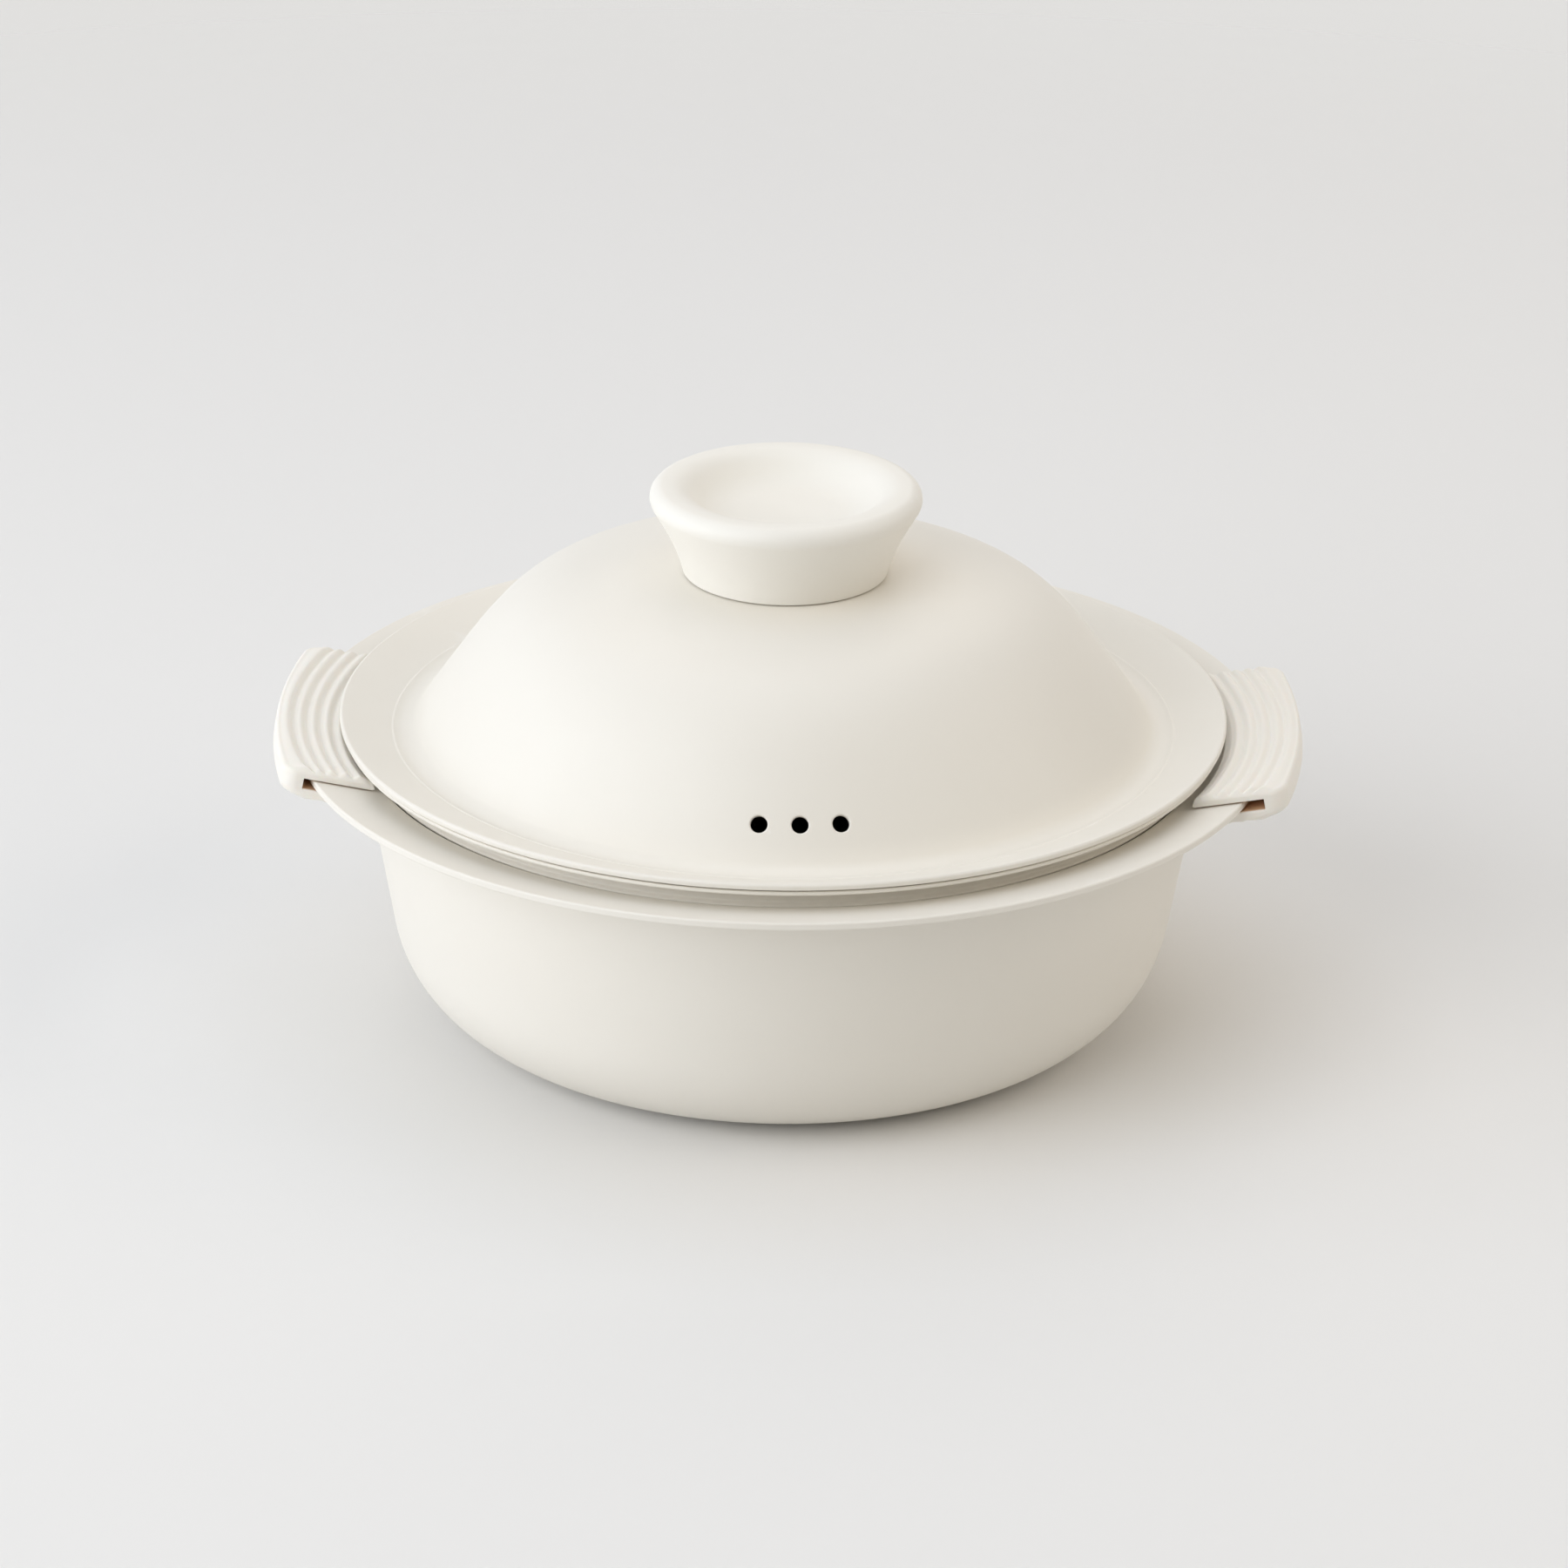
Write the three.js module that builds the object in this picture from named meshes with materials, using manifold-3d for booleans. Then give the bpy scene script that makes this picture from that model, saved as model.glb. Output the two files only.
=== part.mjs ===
import * as THREE from 'three';
import { mergeVertices } from 'three/addons/utils/BufferGeometryUtils.js';
import Module from 'manifold-3d';

const wasm = await Module();
wasm.setup();

// A tabletop pot with a hanging steam tray, a bell-shaped lid and two slip-on grips.
// Millimetres, +Z up, origin at the middle of the base, grips along X, steam holes towards -Y.

const degree = Math.PI / 180;

// Clearance between pieces that rest on, hang in or enclose one another
const seatGap = 0.3;

// Pot body
const mouthRadius = 128.2;
const flangeWidth = 21.8;
const flangeHeight = 92.4;
const flangeRise = 11 * degree;
const potSheet = 2.3;
const wallTaper = 9.7 * degree;
const baseThickness = 4;
const potCorner = 38;
const mouthBend = 2.5;
const flangeEdgeRound = 0.6;

// Base plate, let into the underside
const plateThickness = 1.2;
const plateSetback = 11;

// Steam tray, hung in the mouth by a flare, with a neck and a sloped lip above it
const traySheet = 1.8;
const trayRimReach = 7.5;
const trayLipWidth = 5.9;
const trayRimBand = 1.34;
const trayFlare = 45 * degree;
const trayDepth = 43.5;
const trayClearance = 1.5;
const trayCorner = 12;
const trayBend = 2;
const trayHoleRadius = 3.5;
const trayHoleRings = 3;
const trayHoleRingStep = 26;
const trayHolesPerRing = 6;

// Lid
const lidSheet = 2;
const lidOverhang = 0.9;
const lidEdgeRound = 0.8;
const brimRise = 19.6 * degree;
const valleyRound = 6.6;
const domeRise = 44.6;
const domeSetback = 32.5;
const domeShoulder = 8.56;
const domeSlope = 55.1 * degree;
const crownSetback = 61.1;
const domeSide = 40.6;
const steamHoleRadius = 2.55;
const steamHoleCount = 3;
const steamHoleSpacing = 12.05;
const steamHoleDrop = 3.8;
const steamHoleTurn = -87.1 * degree;

// Knob
const knobFoot = 31.3;
const knobRadius = 41.55;
const knobHeight = 27.4;
const knobRimRound = 4;
const knobKneeOut = 2;
const knobKneeHeight = 8.1;
const knobKneeRound = 57;
const knobLipInset = 10;
const knobLipRound = 10;
const knobWall = 4;
const dishDepth = 9;
const dishWallRun = 9;
const dishRound = 13;
const dishFloorRise = 1;
const bossRadius = 10.5;

// Knob fastening
const screwRadius = 2.5;
const screwHeadRadius = 5;
const screwHeadHeight = 3.2;
const screwReach = 9;
const driveRadius = 1.75;
const driveDepth = 1.8;
const washerRadius = 8;
const washerThickness = 1;
const sealRadius = 9.5;
const sealThickness = 1.2;
const insertRadius = 4.5;
const insertLength = 10.5;

// Grips, silicone sleeves pushed over the flange
const gripWall = 6.2;
const gripHalfLength = 50;
const gripCorner = 3;
const gripPlate = 2.6;
const gripTongue = 2;
const gripUnder = 3;
const gripUnderReach = 15;
const gripEdgeTop = 3.5;
const gripEdgeLow = 5;
const gripSlotAbove = 0.4;
const gripSlotBelow = 0.6;
const gripSlotEase = 72;
const gripTongueSetback = 5;
const ridgePitch = 4.1;
const ridgeHeight = 1;
const ridgeFoot = 0.3;
const ridgeEdgeSetback = 3;
const ridgeEndInset = 2.5;
const ribHeight = 0.6;
const leftGripTurn = 180.6 * degree;
const rightGripTurn = -3.6 * degree;
const rightGripPull = 3.3;

// Fineness of the round shapes
const roundSteps = 40;
const knobSteps = 32;
const smallSteps = 16;
const holeSteps = 8;
const gripRingSteps = 72;
const arcTolerance = 0.2;
const domeSteps = 9;

// A closed solid from any geometry: shared corners joined, flat triangles dropped, faces outward
function solidFrom(geometry) {
  const plain = geometry.clone();
  plain.deleteAttribute('normal');
  plain.deleteAttribute('uv');
  const joined = mergeVertices(plain, 1e-4);
  const place = joined.getAttribute('position');
  const corners = Array.from(joined.index.array);
  const triangles = [];
  const a = new THREE.Vector3();
  const b = new THREE.Vector3();
  const c = new THREE.Vector3();
  let volume = 0;
  for (let i = 0; i < corners.length; i += 3) {
    const [p, q, s] = corners.slice(i, i + 3);
    if (p === q || q === s || s === p) continue;
    triangles.push(p, q, s);
    a.fromBufferAttribute(place, p);
    b.fromBufferAttribute(place, q);
    c.fromBufferAttribute(place, s);
    volume += a.dot(b.cross(c));
  }
  if (volume < 0) triangles.reverse();
  return new wasm.Manifold(new wasm.Mesh({
    numProp: 3,
    vertProperties: new Float32Array(place.array),
    triVerts: new Uint32Array(triangles),
  }));
}

// Number of straight pieces that draw an arc within the tolerance
function arcSteps(radius, sweep) {
  const widest = 2 * Math.acos(Math.max(0, 1 - arcTolerance / radius));
  return Math.max(2, Math.ceil(sweep / widest));
}

// Profile corners [radius, height, fillet] turned into points, each fillet drawn as an arc
function rounded(corners) {
  const points = [];
  corners.forEach(([r, z, fillet], i) => {
    const corner = new THREE.Vector2(r, z);
    if (!fillet) {
      points.push(corner);
      return;
    }
    const before = new THREE.Vector2(...corners.at(i - 1)).sub(corner);
    const after = new THREE.Vector2(...corners[(i + 1) % corners.length]).sub(corner);
    const shortest = Math.min(before.length(), after.length());
    before.normalize();
    after.normalize();
    const half = Math.acos(THREE.MathUtils.clamp(before.dot(after), -1, 1)) / 2;
    const tangent = Math.min(fillet / Math.tan(half), 0.95 * shortest);
    const radius = tangent * Math.tan(half);
    const middle = before.clone().add(after).normalize();
    const centre = corner.clone().addScaledVector(middle, radius / Math.sin(half));
    const sweep = Math.PI - 2 * half;
    const turn = Math.sign(before.x * after.y - before.y * after.x);
    const steps = arcSteps(radius, sweep);
    const start = corner.clone().addScaledVector(before, tangent).sub(centre);
    for (let k = 0; k <= steps; k += 1) {
      const angle = -turn * sweep * k / steps;
      points.push(start.clone().rotateAround(new THREE.Vector2(), angle).add(centre));
    }
  });
  return points;
}

// A profile turned about the Z axis
function turned(corners, steps) {
  const points = rounded(corners);
  const first = points[0];
  if (first.x > 0) points.push(first.clone());
  return solidFrom(new THREE.LatheGeometry(points, steps).rotateX(Math.PI / 2));
}

// A ring of square section between two radii and two heights
function ring(inner, outer, low, high, steps) {
  return turned([[inner, low], [outer, low], [outer, high], [inner, high]], steps);
}

// A straight pin along Z between two heights
function pin(radius, low, high, steps) {
  return turned([[0, low], [radius, low], [radius, high], [0, high]], steps);
}

// Heights and radii that the pot body shares with what sits on it
const flangeRadius = mouthRadius + flangeWidth;
const mouthHeight = flangeHeight - flangeWidth * Math.tan(flangeRise);
const mouthRound = mouthBend + potSheet;

function potWallInner(z) {
  return mouthRadius - (mouthHeight - z) * Math.tan(wallTaper);
}

function potWallOuter(z) {
  return potWallInner(z) + potSheet / Math.cos(wallTaper);
}

function flangeTop(r) {
  return flangeHeight - (flangeRadius - r) * Math.tan(flangeRise);
}

function flangeUnder(r) {
  return flangeTop(r) - potSheet / Math.cos(flangeRise);
}

// Corner where the underside of the flange meets the outer wall
const neckHeight = flangeUnder(potWallOuter(0)) / (1 - Math.tan(wallTaper) * Math.tan(flangeRise));
const neckRadius = potWallOuter(neckHeight);

// Base plate, inside the flat part of the base
const flatBaseRadius = potWallOuter(0) - potCorner * Math.tan((90 * degree - wallTaper) / 2);
const plateRadius = flatBaseRadius - plateSetback;
const recessRadius = plateRadius + seatGap;
const recessDepth = plateThickness + seatGap;

function makePotBody() {
  return turned([
    [0, recessDepth],
    [recessRadius, recessDepth],
    [recessRadius, 0],
    [potWallOuter(0), 0, potCorner],
    [neckRadius, neckHeight, mouthBend],
    [flangeRadius, flangeUnder(flangeRadius), flangeEdgeRound],
    [flangeRadius, flangeHeight, flangeEdgeRound],
    [mouthRadius, mouthHeight, mouthRound],
    [potWallInner(baseThickness), baseThickness, potCorner - potSheet],
    [0, baseThickness],
  ], roundSteps);
}

// Centre of the rounded mouth, which the flare of the tray rests on
const mouthSplit = Math.cos(flangeRise + wallTaper);
const mouthCentreRadius = mouthRadius
  + mouthRound * (Math.cos(flangeRise) - Math.sin(wallTaper)) / mouthSplit;
const mouthCentreHeight = mouthHeight
  - mouthRound * (Math.cos(wallTaper) - Math.sin(flangeRise)) / mouthSplit;

// Radius of the flare at a height, for the underside (0) or the upper side (traySheet)
function trayFlareRadius(z, inset) {
  const away = mouthRound + seatGap + inset;
  const r = mouthCentreRadius - away * Math.sin(trayFlare);
  return r + (z - mouthCentreHeight - away * Math.cos(trayFlare)) / Math.tan(trayFlare);
}

// Radius of the tray wall at a height, for its outside (0) or its inside (traySheet)
function trayWallRadius(z, inset) {
  return potWallInner(z) - (trayClearance + inset) / Math.cos(wallTaper);
}

// Height at which wall and flare meet
function trayBendHeight(inset) {
  const run = trayWallRadius(0, inset) - trayFlareRadius(0, inset);
  return run / (1 / Math.tan(trayFlare) - Math.tan(wallTaper));
}

// Height of the flare at a radius, for its underside (0) or its upper side (traySheet)
function trayFlareHeight(r, inset) {
  return (r - trayFlareRadius(0, inset)) * Math.tan(trayFlare);
}

const trayRimRadius = mouthRadius + trayRimReach;
const trayRimLow = trayFlareHeight(trayRimRadius, 0);
const trayRimTop = trayRimLow + trayRimBand;
const trayFloor = trayRimTop - trayDepth;
const trayBendOuter = trayBendHeight(0);
const trayBendInner = trayBendHeight(traySheet);

// Neck of the tray, and the lip on it, which slopes like the brim that rests on it
const trayNeckOuter = trayRimRadius - trayLipWidth;
const trayNeckInner = trayNeckOuter - traySheet;

function trayLipDrop(r) {
  return (trayRimRadius - r) * Math.tan(brimRise);
}

function makeSteamTray() {
  let tray = turned([
    [0, trayFloor],
    [trayWallRadius(trayFloor, 0), trayFloor, trayCorner],
    [trayWallRadius(trayBendOuter, 0), trayBendOuter, trayBend],
    [trayNeckOuter, trayFlareHeight(trayNeckOuter, 0)],
    [trayNeckOuter, trayRimLow - trayLipDrop(trayNeckOuter), flangeEdgeRound],
    [trayRimRadius, trayRimLow, flangeEdgeRound],
    [trayRimRadius, trayRimTop, flangeEdgeRound],
    [trayNeckInner, trayRimTop - trayLipDrop(trayNeckInner), flangeEdgeRound],
    [trayNeckInner, trayFlareHeight(trayNeckInner, traySheet)],
    [trayWallRadius(trayBendInner, traySheet), trayBendInner, trayBend + traySheet],
    [trayWallRadius(trayFloor + traySheet, traySheet), trayFloor + traySheet, trayCorner - traySheet],
    [0, trayFloor + traySheet],
  ], roundSteps);
  const hole = pin(trayHoleRadius, trayFloor - traySheet, trayFloor + 2 * traySheet, holeSteps);
  for (let row = 1; row <= trayHoleRings; row += 1) {
    const count = trayHolesPerRing * row;
    for (let k = 0; k < count; k += 1) {
      const angle = 2 * Math.PI * k / count;
      const reach = trayHoleRingStep * row;
      tray = tray.subtract(hole.translate([reach * Math.cos(angle), reach * Math.sin(angle), 0]));
    }
  }
  return tray;
}

// Lid levels at the edge of its brim, which falls inward like the land of the tray
const lidRadius = trayRimRadius + lidOverhang;
const brimLow = trayRimTop + seatGap / Math.cos(brimRise) + lidOverhang * Math.tan(brimRise);
const brimTop = brimLow + lidSheet / Math.cos(brimRise);
const crownTop = brimTop + domeRise;

// The dome from the middle of the crown down to the straight slope above the valley
const domeEnd = new THREE.Vector2(lidRadius - domeSetback, brimTop + domeShoulder);
const domeFall = new THREE.Vector2(Math.cos(domeSlope), -Math.sin(domeSlope));
const domeCurve = new THREE.CubicBezierCurve(
  new THREE.Vector2(0, crownTop),
  new THREE.Vector2(lidRadius - crownSetback, crownTop),
  domeEnd.clone().addScaledVector(domeFall, -domeSide),
  domeEnd,
);

// Corner of the valley, where the slope of the dome meets the brim, moved into the sheet by an inset
function valleyCorner(inset) {
  const slope = domeEnd.x * Math.sin(domeSlope) + domeEnd.y * Math.cos(domeSlope) - inset;
  const brim = brimTop * Math.cos(brimRise) - lidRadius * Math.sin(brimRise) - inset;
  const spread = Math.sin(domeSlope + brimRise);
  return [
    (slope * Math.cos(brimRise) - brim * Math.cos(domeSlope)) / spread,
    (slope * Math.sin(brimRise) + brim * Math.sin(domeSlope)) / spread,
    valleyRound + inset,
  ];
}

// The lid line from the crown to the valley, moved into the sheet by an inset
function lidLine(inset) {
  const line = [];
  for (let k = 0; k <= domeSteps; k += 1) {
    const point = domeCurve.getPoint(k / domeSteps);
    const along = domeCurve.getTangent(k / domeSteps);
    line.push([point.x + along.y * inset, point.y - along.x * inset]);
  }
  line.push(valleyCorner(inset));
  return line;
}

// Height of the crown at a radius
function crownHeight(r) {
  let height = crownTop;
  for (let k = 0; k <= 200; k += 1) {
    const point = domeCurve.getPoint(k / 200);
    if (point.x <= r) height = point.y;
  }
  return height;
}

const screwHole = screwRadius + seatGap;

function makeLidShell() {
  const upper = lidLine(0);
  const lower = lidLine(lidSheet).reverse();
  let lid = turned([
    ...upper,
    [lidRadius, brimTop, lidEdgeRound],
    [lidRadius, brimLow, lidEdgeRound / 2],
    ...lower,
  ], roundSteps);
  lid = lid.subtract(pin(screwHole, crownTop - 2 * lidSheet, crownTop + lidSheet, smallSteps));
  const hole = domeEnd.clone().addScaledVector(domeFall, steamHoleDrop);
  const drill = new THREE.CylinderGeometry(steamHoleRadius, steamHoleRadius, 5 * lidSheet, smallSteps);
  drill.rotateX(Math.PI / 2);
  drill.rotateY(domeSlope);
  drill.translate(hole.x, 0, hole.y);
  for (let k = 0; k < steamHoleCount; k += 1) {
    const place = k - (steamHoleCount - 1) / 2;
    const angle = steamHoleTurn + place * steamHoleSpacing / hole.x;
    lid = lid.subtract(solidFrom(drill.clone().rotateZ(angle)));
  }
  return lid;
}

// Fastening levels, from the crown upwards and from the inside of the lid downwards
const knobBase = crownHeight(knobFoot) + seatGap;
const sealLow = crownTop + seatGap;
const sealTop = sealLow + sealThickness;
const bossLow = sealTop + seatGap;
const insertLow = bossLow + seatGap;
const insertTop = insertLow + insertLength;
const boreTop = insertTop + seatGap;
const boreRadius = insertRadius + seatGap;
const washerTop = crownTop - lidSheet - seatGap;
const washerLow = washerTop - washerThickness;
const headTop = washerLow - seatGap;
const headLow = headTop - screwHeadHeight;

function makeKnob() {
  const top = knobBase + knobHeight;
  const knee = new THREE.Vector2(knobFoot + knobKneeOut, knobBase + knobKneeHeight);
  const rimCentre = new THREE.Vector2(knobRadius - knobRimRound, top - knobRimRound);
  const toRim = rimCentre.clone().sub(knee);
  const flare = toRim.angle() - Math.asin(knobRimRound / toRim.length());
  const rimCorner = knee.x + (top - knee.y) / Math.tan(flare);
  const lip = knobRadius - knobLipInset;
  const dishFloor = top - dishDepth;
  const ceiling = dishFloor - knobWall;
  const skirtFoot = knobFoot - knobWall;
  const skirtTop = skirtFoot + (ceiling - knobBase) * knobKneeOut / knobKneeHeight;
  return turned([
    [0, boreTop],
    [boreRadius, boreTop],
    [boreRadius, bossLow],
    [bossRadius, bossLow],
    [bossRadius, ceiling, knobWall / 2],
    [skirtTop, ceiling, knobWall],
    [skirtFoot, knobBase],
    [knobFoot, knobBase, knobWall / 5],
    [knee.x, knee.y, knobKneeRound],
    [rimCorner, top, knobRimRound],
    [lip, top, knobLipRound],
    [lip - dishWallRun, dishFloor + dishFloorRise, dishRound],
    [0, dishFloor],
  ], knobSteps);
}

function makeScrew() {
  const shank = turned([
    [0, headLow],
    [screwHeadRadius, headLow, screwHeadHeight / 3],
    [screwHeadRadius, headTop],
    [screwRadius, headTop],
    [screwRadius, insertLow + screwReach],
    [0, insertLow + screwReach],
  ], smallSteps);
  return shank.subtract(pin(driveRadius, headLow - driveDepth, headLow + driveDepth, 6));
}

// Grip sections are drawn along the flange: s outward from its edge, n square to it from its top
function flangePoint(s, n) {
  return [
    flangeRadius + s * Math.cos(flangeRise) - n * Math.sin(flangeRise),
    flangeHeight + s * Math.sin(flangeRise) + n * Math.cos(flangeRise),
  ];
}

function flangeRing(section) {
  return turned(section.map(([s, n, fillet]) => [...flangePoint(s, n), fillet]), gripRingSteps);
}

// The slot wall and the outer face are arcs about an upright axis behind the middle of the pot
const slotWall = flangeRadius + gripSlotEase;
const slotCentre = flangeRadius + seatGap - slotWall;
const gripReach = (seatGap + gripWall) / Math.cos(flangeRise);
const slotTop = gripSlotAbove;
const slotLow = -potSheet - gripSlotBelow;
const plateTop = slotTop + gripPlate;
const underLow = slotLow - gripUnder;
const crestTop = plateTop + ridgeHeight;
const ribLow = underLow - ribHeight;
const tongueEnd = (gripTongueSetback - flangeWidth) / Math.cos(flangeRise);
const ridgeZoneEnd = (trayRimRadius - flangeRadius) / Math.cos(flangeRise);
const sectionInner = -flangeWidth - gripWall;

// Outline seen from above between two end planes, closed outside by an arc about the slot's axis
function arcOutline(halfLength, radius, round) {
  const across = halfLength - round;
  const along = slotCentre + Math.sqrt((radius - round) ** 2 - across ** 2);
  const lean = Math.atan2(across, along - slotCentre);
  const shape = new THREE.Shape();
  shape.moveTo(mouthRadius / 2, -halfLength);
  shape.lineTo(along, -halfLength);
  shape.absarc(along, -across, round, -90 * degree, -lean);
  shape.absarc(slotCentre, 0, radius, -lean, lean);
  shape.absarc(along, across, round, lean, 90 * degree);
  shape.lineTo(mouthRadius / 2, halfLength);
  shape.closePath();
  return shape;
}

// A plan outline raised through the height of the grips
function upright(shape) {
  const options = { depth: 2 * flangeHeight, steps: 1, bevelEnabled: false, curveSegments: 8 };
  return solidFrom(new THREE.ExtrudeGeometry(shape, options));
}

// Arc-shaped ridges over a base level, counted inward from the outer edge
function ridgeRing(level, height) {
  const foot = level - Math.sign(height) * ridgeFoot;
  const first = gripReach - ridgeEdgeSetback;
  const count = 1 + Math.floor((first - ridgeZoneEnd) / ridgePitch);
  const half = ridgePitch / 2;
  let ridges = null;
  for (let k = 0; k < count; k += 1) {
    const crest = first - k * ridgePitch;
    const one = flangeRing([
      [crest - 0.85 * half, foot],
      [crest - 0.4 * half, level + height],
      [crest + 0.4 * half, level + height],
      [crest + 0.85 * half, foot],
    ]);
    ridges = ridges ? ridges.add(one) : one;
  }
  return ridges;
}

function makeGrip() {
  const sleeve = flangeRing([
    [tongueEnd, slotTop - ridgeFoot],
    [-gripUnderReach, underLow, gripUnder / 2],
    [gripReach + gripWall, underLow],
    [gripReach + gripWall, plateTop],
    [ridgeZoneEnd, plateTop],
    [ridgeZoneEnd - 2 * (gripPlate - gripTongue), slotTop + gripTongue],
    [tongueEnd, slotTop + gripTongue, gripTongue / 2],
  ]);
  const rim = turned([
    [sectionInner, ribLow],
    [gripReach, ribLow, gripEdgeLow],
    [gripReach, crestTop, gripEdgeTop],
    [sectionInner, crestTop],
  ].map(([s, n, fillet]) => {
    const [r, z] = flangePoint(s, n);
    return [r - slotCentre, z, fillet];
  }), gripRingSteps).translate([slotCentre, 0, 0]);
  const outer = slotWall + gripWall + gripCorner / 2;
  const plan = upright(arcOutline(gripHalfLength, outer, 1.5 * gripCorner));
  const ridgePlan = upright(arcOutline(gripHalfLength - ridgeEndInset, outer, 1.5 * gripCorner));
  const slot = flangeRing([
    [sectionInner, slotLow],
    [gripReach, slotLow],
    [gripReach, slotTop],
    [sectionInner, slotTop],
  ]).intersect(upright(arcOutline(gripHalfLength + 4 * gripCorner, slotWall, gripCorner)));
  const ridges = ridgeRing(plateTop, ridgeHeight).add(ridgeRing(underLow, -ribHeight));
  return sleeve.intersect(plan).add(ridges.intersect(ridgePlan)).intersect(rim).subtract(slot);
}

const group = new THREE.Group();

// A named piece of the assembly from its solid
function addPiece(name, solid, colour, roughness, metalness) {
  const shell = solid.getMesh();
  const geometry = new THREE.BufferGeometry();
  geometry.setAttribute('position', new THREE.BufferAttribute(shell.vertProperties, 3));
  geometry.setIndex(new THREE.BufferAttribute(shell.triVerts, 1));
  geometry.computeVertexNormals();
  const material = new THREE.MeshStandardMaterial({ color: colour, roughness, metalness });
  const mesh = new THREE.Mesh(geometry, material);
  mesh.name = name;
  group.add(mesh);
  return mesh;
}

const ivoryCoat = 0xe6e1d6;
const ivoryKnob = 0xe8e4da;
const ivorySilicone = 0xe9e4db;
const steel = 0xb9b9b6;
const brass = 0xb89552;
const clearSilicone = 0xd9d7d0;

addPiece('pot_body', makePotBody(), ivoryCoat, 0.5, 0);
addPiece('base_plate', pin(plateRadius, 0, plateThickness, roundSteps), steel, 0.4, 1);
addPiece('steam_tray', makeSteamTray(), ivoryCoat, 0.5, 0);
addPiece('lid_shell', makeLidShell(), ivoryCoat, 0.5, 0);
addPiece('lid_knob', makeKnob(), ivoryKnob, 0.55, 0);
addPiece('knob_insert', ring(screwHole, insertRadius, insertLow, insertTop, smallSteps), brass, 0.4, 1);
addPiece('knob_screw', makeScrew(), steel, 0.35, 1);
addPiece('knob_washer', ring(screwHole, washerRadius, washerLow, washerTop, smallSteps), steel, 0.35, 1);
addPiece('knob_seal', ring(screwHole, sealRadius, sealLow, sealTop, smallSteps), clearSilicone, 0.7, 0);

// The left grip is pushed fully on, the right one stands a little off the rim
const grip = makeGrip();
const pulled = grip.translate([rightGripPull * Math.cos(flangeRise), 0, rightGripPull * Math.sin(flangeRise)]);
addPiece('left_grip', grip.rotate([0, 0, leftGripTurn / degree]), ivorySilicone, 0.7, 0);
addPiece('right_grip', pulled.rotate([0, 0, rightGripTurn / degree]), ivorySilicone, 0.7, 0);

export default group;
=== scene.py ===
import bmesh
import bpy
import numpy as np
from mathutils import Matrix, Vector


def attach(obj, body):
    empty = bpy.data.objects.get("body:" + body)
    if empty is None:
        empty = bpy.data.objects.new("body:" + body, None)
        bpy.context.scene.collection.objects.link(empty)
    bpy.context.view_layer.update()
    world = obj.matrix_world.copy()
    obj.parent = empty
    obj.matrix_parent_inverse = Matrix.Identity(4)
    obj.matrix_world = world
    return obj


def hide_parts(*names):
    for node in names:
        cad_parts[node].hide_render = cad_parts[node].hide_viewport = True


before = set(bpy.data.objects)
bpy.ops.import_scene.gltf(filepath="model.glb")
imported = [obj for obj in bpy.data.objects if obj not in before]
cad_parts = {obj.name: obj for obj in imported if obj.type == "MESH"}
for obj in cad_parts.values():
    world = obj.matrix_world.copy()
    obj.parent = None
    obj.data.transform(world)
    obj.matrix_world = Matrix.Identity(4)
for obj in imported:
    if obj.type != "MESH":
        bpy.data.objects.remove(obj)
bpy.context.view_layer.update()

# sizes of the object are in millimetres, as in the part's source
deg = np.pi / 180
mm = 0.001
seatGap = 0.3  # between pieces that rest on or enclose each other
smallRound = 0.2  # broken edge of a turned piece
mergeDistance = 2e-6  # in metres; points closer than this become one


# each corner (r, z, fillet) becomes an arc tangent to its two edges; the arc runs from one
# tangent point to the other about the centre on the corner's bisector, in steps of so many degrees
def roundedLine(corners, step, edgeShare=0.95, fewest=4):
    parts = []
    count = len(corners)
    for i, corner in enumerate(corners):
        point = np.array(corner[:2], float)
        fillet = corner[2] if len(corner) > 2 else 0
        if not fillet:
            parts.append(point[None])
            continue
        before = np.array(corners[i - 1][:2], float) - point
        after = np.array(corners[(i + 1) % count][:2], float) - point
        reach = edgeShare * min(np.linalg.norm(before), np.linalg.norm(after))
        before /= np.linalg.norm(before)
        after /= np.linalg.norm(after)
        half = np.arccos(np.clip(before @ after, -1, 1)) / 2
        tangent = min(fillet / np.tan(half), reach)
        middle = (before + after) / np.linalg.norm(before + after)
        centre = point + middle * tangent / np.cos(half)
        sweep = np.pi - 2 * half
        turn = -np.sign(before[0] * after[1] - before[1] * after[0])
        angle = turn * np.linspace(0, sweep, max(fewest, int(sweep / deg / step) + 2))
        arm = point + before * tangent - centre
        parts.append(centre + np.stack([
            arm[0] * np.cos(angle) - arm[1] * np.sin(angle),
            arm[0] * np.sin(angle) + arm[1] * np.cos(angle)], 1))
    return np.vstack(parts)


# long straight stretches are split evenly, so that no step along the line is over the limit
def evenSteps(line, limit=4.0, closed=False):
    ends = np.vstack([line, line[:1]]) if closed else line
    length = np.linalg.norm(np.diff(ends, axis=0), axis=1)
    pieces = np.maximum(1, np.ceil(length / limit).astype(int))
    stretch = np.repeat(np.arange(len(pieces)), pieces)
    first = np.repeat(np.cumsum(pieces) - pieces, pieces)
    share = ((np.arange(len(stretch)) - first) / pieces[stretch])[:, None]
    points = ends[stretch] * (1 - share) + ends[stretch + 1] * share
    return points if closed else np.vstack([points, ends[-1:]])


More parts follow.
